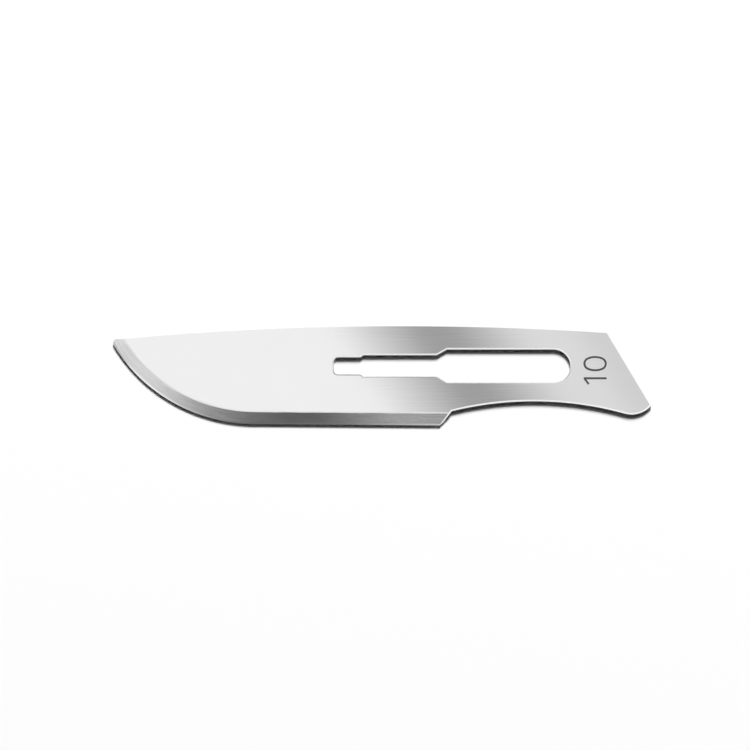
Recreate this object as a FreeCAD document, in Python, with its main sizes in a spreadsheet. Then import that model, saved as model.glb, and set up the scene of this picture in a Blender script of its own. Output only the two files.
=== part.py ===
"""Scalpel blade with a curved cutting edge: one piece of thin hardened steel strip.

The blade is blanked from the strip with its handle slot, its outline edges are broken, and the
cutting edge is ground and honed from both sides, round the belly and along the straight part.

Frame, in millimetres: the blade lies flat on z = 0 with its thickness along +Z. +X points from
the tip to the heel and +Y from the cutting edge to the spine. The origin is at the middle of the
blade's length and width, on its underside.
"""

import FreeCAD, Part

import os
from math import atan2, cos, radians, sin, sqrt, tan
from types import SimpleNamespace

import Sketcher
from FreeCAD import Placement, Rotation, Vector

NAME = "scalpel_blade"

# Driving sizes in millimetres and degrees. The cutting part can grow by itself, so all that
# belongs to the fitting end is measured from the heel. The slot is set below the crest of the
# spine, and the lower outline's heights are set above the heel end of the cutting edge.
SIZES = {
    # The sheet and the overall outline
    "blade_length": 40.0,
    "blade_width": 7.65,
    "sheet_thickness": 0.4,
    "spine_radius": 220.0,
    "spine_crest_from_heel": 18.4,
    "tip_radius": 0.3,
    "belly_radius": 12.36,
    "edge_slope": 0.45,
    "edge_end_from_heel": 15.64,
    "notch_angle": 51.9,
    # The fitting end
    "waist_radius": 24.7,
    "waist_from_heel": 8.73,
    "waist_rise": 1.82,
    "heel_radius": 1.875,
    "heel_corner_rise": 1.525,
    "back_lean": 29.6,
    # The slot: a narrow nose, a neck and a wide seat with a round end
    "slot_drop": 3.12,
    "slot_end_from_heel": 5.98,
    "slot_length": 17.57,
    "seat_width": 2.51,
    "seat_length": 9.16,
    "seat_ramp_angle": 30.0,
    "neck_width": 1.63,
    "nose_width": 1.31,
    "nose_length": 2.0,
    "nose_ramp_angle": 45.0,
    "nose_corner_radius": 0.3,
    # The ground edge, on each face
    "bevel_width": 0.89,
    "hone_width": 0.09,
    "hone_angle": 20.0,
    "edge_land": 0.01,
    "grind_overrun": 0.12,
    # The broken edges of the outline and the slot
    "edge_break": 0.08,
}

# The sketcher counts an element's points from 1: its start, its end and its centre
_, START, END, CENTRE = range(4)
# The sketch's root point is the start of its horizontal axis
ROOT = (-1, START)
H_AXIS = ROOT[0]
UP = Vector(0, 0, 1)
QUARTER_TURN = 90
SAME_LEVEL = 1e-6


def fill_sheet(doc):
    """Write the driving sizes into the spreadsheet, one named cell each."""
    sheet = doc.addObject("Spreadsheet::Sheet", "Sizes")
    for row, (alias, value) in enumerate(SIZES.items(), start=1):
        sheet.set(f"A{row}", alias)
        sheet.set(f"B{row}", str(value))
        sheet.setAlias(f"B{row}", alias)
    doc.recompute()


def new_sketch(body, name, role):
    """Start a sketch on one of the body's own origin planes."""
    sketch = body.newObject("Sketcher::SketchObject", name)
    plane = [item for item in body.Origin.OriginFeatures if item.Role == role][0]
    sketch.AttachmentSupport = [(plane, "")]
    sketch.MapMode = "FlatFace"
    return sketch


def dimension(sketch, name, kind, where, expression):
    """Add a named dimension and bind it to an expression of the sheet's cells."""
    value = sketch.evalExpression(expression)
    if kind == "Angle":
        value = radians(value)
    index = sketch.addConstraint(Sketcher.Constraint(kind, *where, value))
    sketch.renameConstraint(index, name)
    sketch.setExpression(f"Constraints.{name}", expression)


def reference(sketch, name, kind, where, value):
    """Add a measured dimension that other features read."""
    index = sketch.addConstraint(Sketcher.Constraint(kind, *where, value))
    sketch.setDriving(index, False)
    sketch.renameConstraint(index, name)


def relate(sketch, kind, *where):
    """Add a geometric relation between elements or their ends."""
    sketch.addConstraint(Sketcher.Constraint(kind, *where))


def arc(centre, radius, start_way, end_way):
    """Return an anticlockwise arc from one direction out of its centre to another."""
    circle = Part.Circle(centre, UP, radius)
    return Part.ArcOfCircle(circle, atan2(start_way.y, start_way.x), atan2(end_way.y, end_way.x))


def direction(degrees):
    """Return the unit vector at an angle from +X."""
    return Vector(cos(radians(degrees)), sin(radians(degrees)), 0)


def ray_and_circle(start, way, centre, radius, leaving):
    """Return where a ray leaves a circle, or where it first meets it."""
    offset = start - centre
    half = way.dot(offset)
    root = sqrt(half**2 - offset.dot(offset) + radius**2)
    return start + way * (root - half if leaving else -root - half)


def left_meeting(first, first_radius, second, second_radius):
    """Return where two circles meet, left of the line from the first centre to the second."""
    span = second - first
    along = (span.Length**2 + first_radius**2 - second_radius**2) / (2 * span.Length)
    aside = sqrt(first_radius**2 - along**2)
    way = span.normalize()
    return first + way * along + Vector(-way.y, way.x, 0) * aside


def sketch_outline(body):
    """Draw the outline: spine, back, heel, waist, notch, cutting edge, belly and tip.

    Eight elements in a ring. The cutting edge runs into the belly, the belly into the tip, the
    tip into the spine and the waist into the heel as tangents; the other four joints are corners.
    """
    size = SimpleNamespace(**SIZES)
    half_length = size.blade_length / 2
    half_width = size.blade_width / 2
    crest_x = half_length - size.spine_crest_from_heel
    spine_centre = Vector(crest_x, half_width - size.spine_radius, 0)
    heel_corner = Vector(half_length, size.heel_corner_rise - half_width, 0)
    waist_apex = Vector(half_length - size.waist_from_heel, size.waist_rise - half_width, 0)
    waist_centre = waist_apex - Vector(0, size.waist_radius, 0)
    edge_end = Vector(half_length - size.edge_end_from_heel, -half_width, 0)

    back_way = direction(90 + size.back_lean)
    back_corner = ray_and_circle(heel_corner, back_way, spine_centre, size.spine_radius, True)
    heel_reach = size.waist_radius + size.heel_radius
    heel_centre = left_meeting(waist_centre, heel_reach, heel_corner, size.heel_radius)
    notch_way = direction(size.notch_angle)
    notch_top = ray_and_circle(edge_end, notch_way, waist_centre, size.waist_radius, True)

    tip_x = size.tip_radius - half_length
    tip_rise = sqrt((size.spine_radius - size.tip_radius) ** 2 - (tip_x - crest_x) ** 2)
    tip_centre = Vector(tip_x, spine_centre.y + tip_rise, 0)
    edge_way = direction(180 - size.edge_slope)
    edge_out = direction(270 - size.edge_slope)
    belly_path = edge_end - edge_out * size.belly_radius
    belly_reach = size.belly_radius - size.tip_radius
    belly_centre = ray_and_circle(belly_path, edge_way, tip_centre, belly_reach, False)
    belly_foot = belly_centre + edge_out * size.belly_radius

    sketch = new_sketch(body, "Outline", "XY_Plane")
    spine, back, heel, waist, notch, edge, belly, tip = sketch.addGeometry([
        arc(spine_centre, size.spine_radius, back_corner - spine_centre, tip_centre - spine_centre),
        Part.LineSegment(heel_corner, back_corner),
        arc(heel_centre, size.heel_radius, waist_centre - heel_centre, heel_corner - heel_centre),
        arc(waist_centre, size.waist_radius, heel_centre - waist_centre, notch_top - waist_centre),
        Part.LineSegment(edge_end, notch_top),
        Part.LineSegment(edge_end, belly_foot),
        arc(belly_centre, size.belly_radius, tip_centre - belly_centre, edge_out),
        arc(tip_centre, size.tip_radius, tip_centre - spine_centre, tip_centre - belly_centre),
    ], False)

    relate(sketch, "Coincident", spine, START, back, END)
    relate(sketch, "Coincident", back, START, heel, END)
    relate(sketch, "Tangent", heel, START, waist, START)
    relate(sketch, "Coincident", waist, END, notch, END)
    relate(sketch, "Coincident", notch, START, edge, START)
    relate(sketch, "Tangent", edge, END, belly, END)
    relate(sketch, "Tangent", belly, START, tip, END)
    relate(sketch, "Tangent", tip, START, spine, END)

    dimension(sketch, "spine_radius", "Radius", (spine,), "Sizes.spine_radius")
    dimension(sketch, "spine_crest_x", "DistanceX", (*ROOT, spine, CENTRE),
              "Sizes.blade_length / 2 - Sizes.spine_crest_from_heel")
    dimension(sketch, "spine_centre_y", "DistanceY", (*ROOT, spine, CENTRE),
              "Sizes.blade_width / 2 - Sizes.spine_radius")
    dimension(sketch, "heel_x", "DistanceX", (*ROOT, back, START), "Sizes.blade_length / 2")
    dimension(sketch, "heel_y", "DistanceY", (*ROOT, back, START),
              "Sizes.heel_corner_rise - Sizes.blade_width / 2")
    dimension(sketch, "back_lean", "Angle", (back,), "90 + Sizes.back_lean")
    dimension(sketch, "heel_radius", "Radius", (heel,), "Sizes.heel_radius")
    dimension(sketch, "waist_radius", "Radius", (waist,), "Sizes.waist_radius")
    dimension(sketch, "waist_x", "DistanceX", (*ROOT, waist, CENTRE),
              "Sizes.blade_length / 2 - Sizes.waist_from_heel")
    dimension(sketch, "waist_y", "DistanceY", (*ROOT, waist, CENTRE),
              "Sizes.waist_rise - Sizes.blade_width / 2 - Sizes.waist_radius")
    dimension(sketch, "notch_angle", "Angle", (notch,), "Sizes.notch_angle")
    dimension(sketch, "edge_end_x", "DistanceX", (*ROOT, edge, START),
              "Sizes.blade_length / 2 - Sizes.edge_end_from_heel")
    dimension(sketch, "edge_end_y", "DistanceY", (*ROOT, edge, START), "-Sizes.blade_width / 2")
    dimension(sketch, "edge_angle", "Angle", (edge,), "180 - Sizes.edge_slope")
    dimension(sketch, "belly_radius", "Radius", (belly,), "Sizes.belly_radius")
    dimension(sketch, "tip_radius", "Radius", (tip,), "Sizes.tip_radius")
    dimension(sketch, "tip_x", "DistanceX", (*ROOT, tip, CENTRE),
              "Sizes.tip_radius - Sizes.blade_length / 2")

    # The grinding path starts where the belly runs into the straight edge
    reference(sketch, "belly_x", "DistanceX", (*ROOT, belly, CENTRE), belly_centre.x)
    reference(sketch, "belly_y", "DistanceY", (*ROOT, belly, CENTRE), belly_centre.y)
    reference(sketch, "edge_run", "Distance", (edge,), (belly_foot - edge_end).Length)
    return sketch


def blank_blade(body):
    """Blank the outline out of the sheet."""
    blank = body.newObject("PartDesign::Pad", "Blank")
    blank.Profile = sketch_outline(body)
    blank.setExpression("Length", "Sizes.sheet_thickness")
    return blank


def sketch_half_slot(body):
    """Draw the spine side's half of the slot, from the middle of its round end to its nose."""
    size = SimpleNamespace(**SIZES)
    seat_half = size.seat_width / 2
    neck_half = size.neck_width / 2
    nose_half = size.nose_width / 2
    corner = size.nose_corner_radius
    nose_x = seat_half - size.slot_length
    seat_x = seat_half - size.seat_length
    neck_x = seat_x - (seat_half - neck_half) / tan(radians(size.seat_ramp_angle))
    nose_end_x = nose_x + size.nose_length
    neck_end_x = nose_end_x + (neck_half - nose_half) / tan(radians(size.nose_ramp_angle))

    sketch = new_sketch(body, "HalfSlot", "XY_Plane")
    sketch.setExpression(".AttachmentOffset.Base.x",
                         "Sizes.blade_length / 2 - Sizes.slot_end_from_heel - Sizes.seat_width / 2")
    sketch.setExpression(".AttachmentOffset.Base.y", "Sizes.blade_width / 2 - Sizes.slot_drop")
    centre = Vector(0, 0, 0)
    corner_centre = Vector(nose_x + corner, nose_half - corner, 0)
    end, seat, seat_ramp, neck, nose_ramp, nose, nose_corner, wall, axis = sketch.addGeometry([
        arc(centre, seat_half, Vector(1, 0, 0), Vector(0, 1, 0)),
        Part.LineSegment(Vector(0, seat_half, 0), Vector(seat_x, seat_half, 0)),
        Part.LineSegment(Vector(neck_x, neck_half, 0), Vector(seat_x, seat_half, 0)),
        Part.LineSegment(Vector(neck_x, neck_half, 0), Vector(neck_end_x, neck_half, 0)),
        Part.LineSegment(Vector(nose_end_x, nose_half, 0), Vector(neck_end_x, neck_half, 0)),
        Part.LineSegment(Vector(nose_end_x, nose_half, 0), Vector(nose_x + corner, nose_half, 0)),
        arc(corner_centre, corner, Vector(0, 1, 0), Vector(-1, 0, 0)),
        Part.LineSegment(Vector(nose_x, nose_half - corner, 0), Vector(nose_x, 0, 0)),
        Part.LineSegment(Vector(nose_x, 0, 0), Vector(seat_half, 0, 0)),
    ], False)

    relate(sketch, "Coincident", end, CENTRE, *ROOT)
    relate(sketch, "Tangent", end, END, seat, START)
    relate(sketch, "Coincident", seat, END, seat_ramp, END)
    relate(sketch, "Coincident", seat_ramp, START, neck, START)
    relate(sketch, "Coincident", neck, END, nose_ramp, END)
    relate(sketch, "Coincident", nose_ramp, START, nose, START)
    relate(sketch, "Tangent", nose, END, nose_corner, START)
    relate(sketch, "Tangent", nose_corner, END, wall, START)
    relate(sketch, "Coincident", wall, END, axis, START)
    relate(sketch, "Coincident", axis, END, end, START)
    relate(sketch, "PointOnObject", axis, START, H_AXIS)
    relate(sketch, "PointOnObject", axis, END, H_AXIS)
    for side in (seat, neck, nose):
        relate(sketch, "Horizontal", side)
    relate(sketch, "Vertical", wall)

    dimension(sketch, "seat_half", "Radius", (end,), "Sizes.seat_width / 2")
    dimension(sketch, "neck_half", "DistanceY", (*ROOT, neck, START), "Sizes.neck_width / 2")
    dimension(sketch, "nose_half", "DistanceY", (*ROOT, nose, START), "Sizes.nose_width / 2")
    dimension(sketch, "nose_x", "DistanceX", (*ROOT, wall, END),
              "Sizes.seat_width / 2 - Sizes.slot_length")
    dimension(sketch, "seat_x", "DistanceX", (*ROOT, seat, END),
              "Sizes.seat_width / 2 - Sizes.seat_length")
    dimension(sketch, "nose_length", "DistanceX", (wall, END, nose, START), "Sizes.nose_length")
    dimension(sketch, "seat_ramp", "Angle", (seat_ramp,), "Sizes.seat_ramp_angle")
    dimension(sketch, "nose_ramp", "Angle", (nose_ramp,), "Sizes.nose_ramp_angle")
    dimension(sketch, "nose_corner", "Radius", (nose_corner,), "Sizes.nose_corner_radius")
    return sketch


def punch_slot(body):
    """Punch the slot through the sheet: one half, then its mirror image about the slot's axis."""
    half = body.newObject("PartDesign::Pocket", "SlotHalf")
    half.Profile = sketch_half_slot(body)
    half.Type = "ThroughAll"
    half.Reversed = True
    return mirror(body, "Slot", [half])


def mirror(body, name, features):
    """Repeat cuts about the horizontal axis of the sketch that the first of them uses."""
    mirrored = body.newObject("PartDesign::Mirrored", name)
    mirrored.Originals = features
    mirrored.MirrorPlane = (features[0].Profile[0], ["H_Axis"])
    body.Tip = mirrored
    return mirrored


def break_edges(body, blank):
    """Break every edge that lies in one of the sheet's two faces with a small chamfer."""
    levels = (0, SIZES["sheet_thickness"])
    names = []
    for number, edge in enumerate(blank.Shape.Edges, start=1):
        box = edge.BoundBox
        off_face = min(abs(box.ZMin - level) for level in levels)
        if box.ZLength < SAME_LEVEL and off_face < SAME_LEVEL:
            names.append(f"Edge{number}")
    broken = body.newObject("PartDesign::Chamfer", "EdgeBreak")
    broken.Base = (blank, names)
    broken.setExpression("Size", "Sizes.edge_break")
    return broken


def sketch_grind(body, outline):
    """Draw what the wheel removes above the mid-plane, square to the edge at the belly's foot.

    The sketch's origin is the belly's centre at mid-thickness, and its upright axis is the belly's
    own. From the edge inwards the section is the hone, then the flat bevel up to the shoulder.
    """
    size = SimpleNamespace(**SIZES)
    land = size.edge_land / 2
    face = size.sheet_thickness / 2
    hone_rise = size.hone_width * tan(radians(size.hone_angle))
    outside_drop = size.grind_overrun * tan(radians(size.hone_angle))
    bevel_rise = (face - land - hone_rise) / (size.bevel_width - size.hone_width)
    edge_at = Vector(-size.belly_radius, land, 0)
    shoulder = Vector(size.bevel_width - size.belly_radius, face, 0)
    hone_start = edge_at + Vector(size.hone_width, hone_rise, 0)
    inner_top = shoulder + Vector(size.grind_overrun / bevel_rise, size.grind_overrun, 0)
    outer_low = edge_at - Vector(size.grind_overrun, outside_drop, 0)
    outer_top = Vector(outer_low.x, inner_top.y, 0)

    sketch = new_sketch(body, "GrindSection", "YZ_Plane")
    sketch.AttachmentOffset = Placement(Vector(), Rotation(Vector(0, 1, 0), -size.edge_slope))
    sketch.setExpression(".AttachmentOffset.Base.x", f"{outline.Name}.Constraints.belly_y")
    sketch.setExpression(".AttachmentOffset.Base.y", "Sizes.sheet_thickness / 2")
    sketch.setExpression(".AttachmentOffset.Base.z", f"{outline.Name}.Constraints.belly_x")
    sketch.setExpression(".AttachmentOffset.Rotation.Angle", "-Sizes.edge_slope")
    hone, side, top, bevel = sketch.addGeometry([
        Part.LineSegment(hone_start, outer_low),
        Part.LineSegment(outer_low, outer_top),
        Part.LineSegment(outer_top, inner_top),
        Part.LineSegment(inner_top, hone_start),
    ], False)
    edge_point, shoulder_point = sketch.addGeometry([
        Part.Point(edge_at),
        Part.Point(shoulder),
    ], True)

    relate(sketch, "Coincident", hone, END, side, START)
    relate(sketch, "Coincident", side, END, top, START)
    relate(sketch, "Coincident", top, END, bevel, START)
    relate(sketch, "Coincident", bevel, END, hone, START)
    relate(sketch, "Vertical", side)
    relate(sketch, "Horizontal", top)
    relate(sketch, "PointOnObject", edge_point, START, hone)
    relate(sketch, "PointOnObject", shoulder_point, START, bevel)

    dimension(sketch, "edge_at", "DistanceX", (*ROOT, edge_point, START), "-Sizes.belly_radius")
    dimension(sketch, "half_land", "DistanceY", (*ROOT, edge_point, START), "Sizes.edge_land / 2")
    dimension(sketch, "hone_angle", "Angle", (hone,), "180 + Sizes.hone_angle")
    dimension(sketch, "hone_width", "DistanceX", (edge_point, START, hone, START),
              "Sizes.hone_width")
    dimension(sketch, "outside", "DistanceX", (hone, END, edge_point, START),
              "Sizes.grind_overrun")
    dimension(sketch, "bevel_width", "DistanceX", (edge_point, START, shoulder_point, START),
              "Sizes.bevel_width")
    dimension(sketch, "half_sheet", "DistanceY", (*ROOT, shoulder_point, START),
              "Sizes.sheet_thickness / 2")
    dimension(sketch, "top", "DistanceY", (*ROOT, top, START),
              "Sizes.sheet_thickness / 2 + Sizes.grind_overrun")
    return sketch


def grind_edge(body, outline):
    """Grind and hone both faces: a quarter turn round the belly, then along the straight edge.

    The quarter turn ends clear of the blade above the tip. The straight pass ends past the point
    where the bevel's shoulder runs out through the notch, short of the heel.
    """
    section = sketch_grind(body, outline)
    belly = body.newObject("PartDesign::Groove", "BellyGrind")
    belly.Profile = section
    belly.ReferenceAxis = (section, ["V_Axis"])
    belly.Angle = QUARTER_TURN
    belly.Reversed = True
    straight = body.newObject("PartDesign::Pocket", "StraightGrind")
    straight.Profile = section
    straight.Reversed = True
    straight.setExpression("Length", f"{outline.Name}.Constraints.edge_run + (Sizes.grind_overrun"
                           " + Sizes.bevel_width / tan(Sizes.notch_angle * 1 deg)) * 1 mm")
    return mirror(body, "OtherFaceGrind", [belly, straight])


def check(doc, body, stages):
    """Stop unless every object is sound and every cut has really removed steel."""
    for item in doc.Objects:
        if "Invalid" in item.State or "Error" in item.State:
            raise RuntimeError(f"{item.Name} failed: {item.State}")
        if item.TypeId == "Sketcher::SketchObject" and not item.FullyConstrained:
            raise RuntimeError(f"{item.Name} is not fully constrained")
    volumes = [stage.Shape.Volume for stage in stages]
    for stage, before, after in zip(stages[1:], volumes, volumes[1:]):
        print(f"{stage.Name} removes {before - after:.4f} mm3")
        if after >= before:
            raise RuntimeError(f"{stage.Name} removes nothing")
    shape = body.Shape
    if shape.isNull() or not shape.isValid() or len(shape.Solids) != 1:
        raise RuntimeError(f"{body.Label} is not one valid solid")
    box = shape.optimalBoundingBox(False, False)
    print(f"{body.Label}: {box.XLength:.3f} x {box.YLength:.3f} x {box.ZLength:.3f} mm")


def main():
    """Model the blade and write its file."""
    doc = FreeCAD.newDocument("Blade")
    fill_sheet(doc)
    body = doc.addObject("PartDesign::Body", "ScalpelBlade")
    body.Label = NAME
    blank = blank_blade(body)
    slot = punch_slot(body)
    doc.recompute()
    broken = break_edges(body, slot)
    doc.recompute()
    ground = grind_edge(body, blank.Profile[0])
    doc.recompute()
    check(doc, body, [blank, slot, broken, ground])
    os.makedirs("parts", exist_ok=True)
    body.Shape.exportStep(f"parts/{body.Label}.step")


main()
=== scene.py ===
"""Looks of a scalpel blade: the ground and honed steel, its size number and the studio round it.

The blade is shaped in millimetres, as in the workshop: blanked with its slot, its outline edges
broken, the cutting edge ground from both faces and the size number etched. Then it is brought to
metres. +X points from the tip to the heel, +Y from the cutting edge to the spine and +Z up.
"""

import logging
from collections.abc import Callable
from dataclasses import dataclass, field
from enum import Enum
from math import atan2, cos, degrees, radians, sin, sqrt, tan

import bpy
from mathutils import Matrix, Vector


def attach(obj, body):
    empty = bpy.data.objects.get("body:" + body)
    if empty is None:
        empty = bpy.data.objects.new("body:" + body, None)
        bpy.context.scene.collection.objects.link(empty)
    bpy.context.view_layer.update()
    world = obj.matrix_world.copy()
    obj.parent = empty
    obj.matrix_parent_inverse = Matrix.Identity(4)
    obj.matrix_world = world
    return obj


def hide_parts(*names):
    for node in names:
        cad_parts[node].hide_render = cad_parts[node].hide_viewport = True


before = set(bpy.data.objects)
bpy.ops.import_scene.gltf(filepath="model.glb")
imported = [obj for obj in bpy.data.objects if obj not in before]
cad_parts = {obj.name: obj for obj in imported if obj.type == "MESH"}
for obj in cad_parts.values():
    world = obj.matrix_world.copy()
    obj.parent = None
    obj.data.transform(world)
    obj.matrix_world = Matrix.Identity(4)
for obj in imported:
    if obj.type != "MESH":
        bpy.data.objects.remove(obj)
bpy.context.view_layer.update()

NODE = "scalpel_blade"
BODY = "root"
MM = 0.001
UP = Vector((0.0, 0.0, 1.0))
FULL_TURN = 360.0
# How near two points are joined, in a drawing and in the finished mesh, in millimetres
CLOSE = 0.003
SEAM = 0.0002
# How much of a face's normal points along Z: at most on a wall, at least on a slope and a face
ON_WALL = 1e-3
ON_SLOPE = 0.5
ON_FACE = 0.9999

log = logging.getLogger("blade")


# Working in edit mode


def only(*pieces: bpy.types.Object) -> None:
    """Make these the only selected objects, and the first of them the active one."""
    if bpy.context.object and bpy.context.object.mode != "OBJECT":
        bpy.ops.object.mode_set(mode="OBJECT")
    bpy.ops.object.select_all(action="DESELECT")
    for piece in pieces:
        piece.select_set(True)
    bpy.context.view_layer.objects.active = pieces[0]


def edit(piece: bpy.types.Object, action: str = "DESELECT", element: str = "VERT") -> None:
    """Open one piece in edit mode.

    Args:
        piece: The piece to open.
        action: SELECT for all of it or DESELECT for nothing.
        element: What is selected there: VERT, EDGE or FACE.
    """
    only(piece)
    bpy.ops.object.mode_set(mode="EDIT")
    bpy.ops.mesh.select_mode(type=element)
    bpy.ops.mesh.select_all(action=action)


def pick(piece: bpy.types.Object, wanted: Callable[[bpy.types.MeshPolygon], bool]) -> int:
    """Select the faces of a piece that pass a test, and leave it open in edit mode.

    Args:
        piece: The piece to search.
        wanted: The test that a face passes.

    Returns:
        How many faces were selected.
    """
    edit(piece, element="FACE")
    bpy.ops.object.mode_set(mode="OBJECT")
    chosen = [face for face in piece.data.polygons if wanted(face)]
    for face in chosen:
        face.select = True
    bpy.ops.object.mode_set(mode="EDIT")
    return len(chosen)


def finish_faces(piece: bpy.types.Object, material: bpy.types.Material,
                 wanted: Callable[[bpy.types.MeshPolygon], bool]) -> None:
    """Give the faces of a piece that pass a test one finish.

    Args:
        piece: The piece to finish.
        material: The finish.
        wanted: The test that a face passes.
    """
    if material.name not in piece.data.materials:
        piece.data.materials.append(material)
    pick(piece, wanted)
    piece.active_material_index = piece.data.materials.find(material.name)
    bpy.ops.object.material_slot_assign()
    bpy.ops.object.mode_set(mode="OBJECT")


def make_solid(sheet: bpy.types.Object, path: Vector) -> None:
    """Extrude flat faces along a straight path and turn the solid's faces outwards.

    Args:
        sheet: The piece, which has only its flat faces.
        path: How far and which way they are extruded.
    """
    edit(sheet, "SELECT")
    bpy.ops.mesh.remove_doubles(threshold=CLOSE)
    bpy.ops.mesh.extrude_region_move(TRANSFORM_OT_translate={"value": path})
    bpy.ops.mesh.select_all(action="SELECT")
    bpy.ops.mesh.normals_make_consistent(inside=False)
    bpy.ops.object.mode_set(mode="OBJECT")


def cut(piece: bpy.types.Object, tool: bpy.types.Object) -> None:
    """Cut a tool's shape out of a piece, which takes the tool's finishes there.

    Args:
        piece: The piece to cut.
        tool: The closed solid that is cut out of it and then removed.
    """
    only(piece)
    modifier = piece.modifiers.new("Cut", "BOOLEAN")
    modifier.operation = "DIFFERENCE"
    modifier.solver = "EXACT"
    modifier.material_mode = "TRANSFER"
    modifier.object = tool
    bpy.ops.object.modifier_apply(modifier=modifier.name)
    bpy.data.objects.remove(tool, do_unlink=True)


# Plane geometry of the outline


def flat(x: float, y: float) -> Vector:
    """Return a point on the ground plane."""
    return Vector((x, y, 0.0))


def heading(angle: float) -> Vector:
    """Return the level unit vector at an angle in degrees from +X."""
    return flat(cos(radians(angle)), sin(radians(angle)))


def above(centre: Vector, radius: float, x: float) -> Vector:
    """Return the point of a circle that lies above its centre at an x."""
    return flat(x, centre.y + sqrt(radius**2 - (x - centre.x) ** 2))


def ray_and_circle(start: Vector, way: Vector, centre: Vector, radius: float,
                   leaving: bool) -> Vector:
    """Return where a ray crosses a circle.

    Args:
        start: Where the ray starts.
        way: Its unit direction.
        centre: The circle's centre.
        radius: The circle's radius.
        leaving: True for the point where the ray leaves the circle, False where it enters.

    Returns:
        The crossing point.
    """
    offset = start - centre
    half = way.dot(offset)
    root = sqrt(half**2 - offset.dot(offset) + radius**2)
    return start + way * (root - half if leaving else -root - half)


def left_meeting(first: Vector, first_radius: float, second: Vector,
                 second_radius: float) -> Vector:
    """Return where two circles meet, left of the line from the first centre to the second.

    Args:
        first: The first circle's centre.
        first_radius: The first circle's radius.
        second: The second circle's centre.
        second_radius: The second circle's radius.

    Returns:
        The meeting point.
    """
    span = second - first
    along = (span.length_squared + first_radius**2 - second_radius**2) / (2 * span.length)
    aside = sqrt(first_radius**2 - along**2)
    way = span.normalized()
    return first + way * along + flat(-way.y, way.x) * aside


class Pen:
    """Draws a closed outline with one travelling vertex, line by line and arc by arc."""

    def __init__(self, name: str, start: Vector) -> None:
        """Put the pen down.

        Args:
            name: The outline's name.
            start: Where it starts.
        """
        bpy.ops.object.select_all(action="DESELECT")
        bpy.ops.mesh.primitive_plane_add(size=1.0)
        self.outline = bpy.context.object
        self.outline.name = name
        self.at = start.copy()
        bpy.ops.object.mode_set(mode="EDIT")
        bpy.ops.mesh.select_mode(type="VERT")
        bpy.ops.mesh.select_all(action="SELECT")
        bpy.ops.mesh.merge(type="CENTER")
        bpy.ops.transform.translate(value=start)

    def line(self, end: Vector) -> None:
        """Draw a straight line to a point."""
        bpy.ops.mesh.extrude_region_move(TRANSFORM_OT_translate={"value": end - self.at})
        self.at = end.copy()

    def arc(self, centre: Vector, end: Vector, step: float, clockwise: bool = False) -> None:
        """Draw an arc from where the pen is.

        Args:
            centre: The arc's centre.
            end: A point in the direction in which the arc ends.
            step: About how many degrees one piece of it spans.
            clockwise: The way that it goes round.
        """
        first, last = self.at - centre, end - centre
        angle = degrees(atan2(last.y, last.x) - atan2(first.y, first.x)) % FULL_TURN
        angle -= FULL_TURN if clockwise else 0.0
        steps = max(2, round(abs(angle) / step))
        bpy.ops.mesh.spin(steps=steps, angle=-radians(angle), center=centre, axis=UP)
        self.at = centre + Matrix.Rotation(radians(angle), 3, "Z") @ first

    def close(self, fill: bool = True) -> bpy.types.Object:
        """Join the end to the start.

        Args:
            fill: Whether the outline becomes a face.

        Returns:
            The closed outline, out of edit mode.
        """
        bpy.ops.mesh.select_all(action="SELECT")
        bpy.ops.mesh.remove_doubles(threshold=CLOSE)
        if fill:
            bpy.ops.mesh.edge_face_add()
        bpy.ops.object.mode_set(mode="OBJECT")
        return self.outline


def draw_face(name: str, points: list[Vector]) -> bpy.types.Object:
    """Draw a face with straight sides.

    Args:
        name: The face's name.
        points: Its corners in order.

    Returns:
        The face.
    """
    pen = Pen(name, points[0])
    for point in points[1:] + points[:1]:
        pen.line(point)
    return pen.close()


# Finishes


class Nodes:
    """Lays out and wires the nodes of one tree."""

    SPACING = 220

    def __init__(self, tree: bpy.types.NodeTree) -> None:
        """Start with an empty tree."""
        self.tree = tree
        self.tree.nodes.clear()

    def add(self, kind: str, inputs: dict[str | int, object] | None = None,
            **settings: object) -> bpy.types.Node:
        """Add one node.

        Args:
            kind: The node's type.
            inputs: A value or a socket to link for each input, by name or number.
            settings: Properties to set on the node.

        Returns:
            The new node.
        """
        node = self.tree.nodes.new(kind)
        node.location = (self.SPACING * len(self.tree.nodes), 0)
        for name, value in settings.items():
            setattr(node, name, value)
        for name, value in (inputs or {}).items():
            if isinstance(value, bpy.types.NodeSocket):
                self.tree.links.new(value, node.inputs[name])
            else:
                node.inputs[name].default_value = value
        return node

    def maths(self, operation: str, *values: object) -> bpy.types.NodeSocket:
        """Add one Math node.

        Args:
            operation: What it works out.
            values: Its values or the sockets that they come from, in order.

        Returns:
            Its result.
        """
        node = self.add("ShaderNodeMath", dict(enumerate(values)), operation=operation)
        return node.outputs[0]


def new_material(name: str) -> tuple[bpy.types.Material, Nodes]:
    """Make a material with an empty node tree, and return it with its nodes."""
    material = bpy.data.materials.new(name)
    material.use_nodes = True
    return material, Nodes(material.node_tree)


def new_group(name: str, inputs: dict[str, str], outputs: dict[str, str]) -> bpy.types.NodeTree:
    """Make an empty shader node group with named sockets.

    Args:
        name: The group's name.
        inputs: The type of each input, by name.
        outputs: The type of each output, by name.

    Returns:
        The group.
    """
    group = bpy.data.node_groups.new(name, "ShaderNodeTree")
    for socket, kind in inputs.items():
        group.interface.new_socket(socket, in_out="INPUT", socket_type=f"NodeSocket{kind}")
    for socket, kind in outputs.items():
        group.interface.new_socket(socket, in_out="OUTPUT", socket_type=f"NodeSocket{kind}")
    return group


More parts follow.
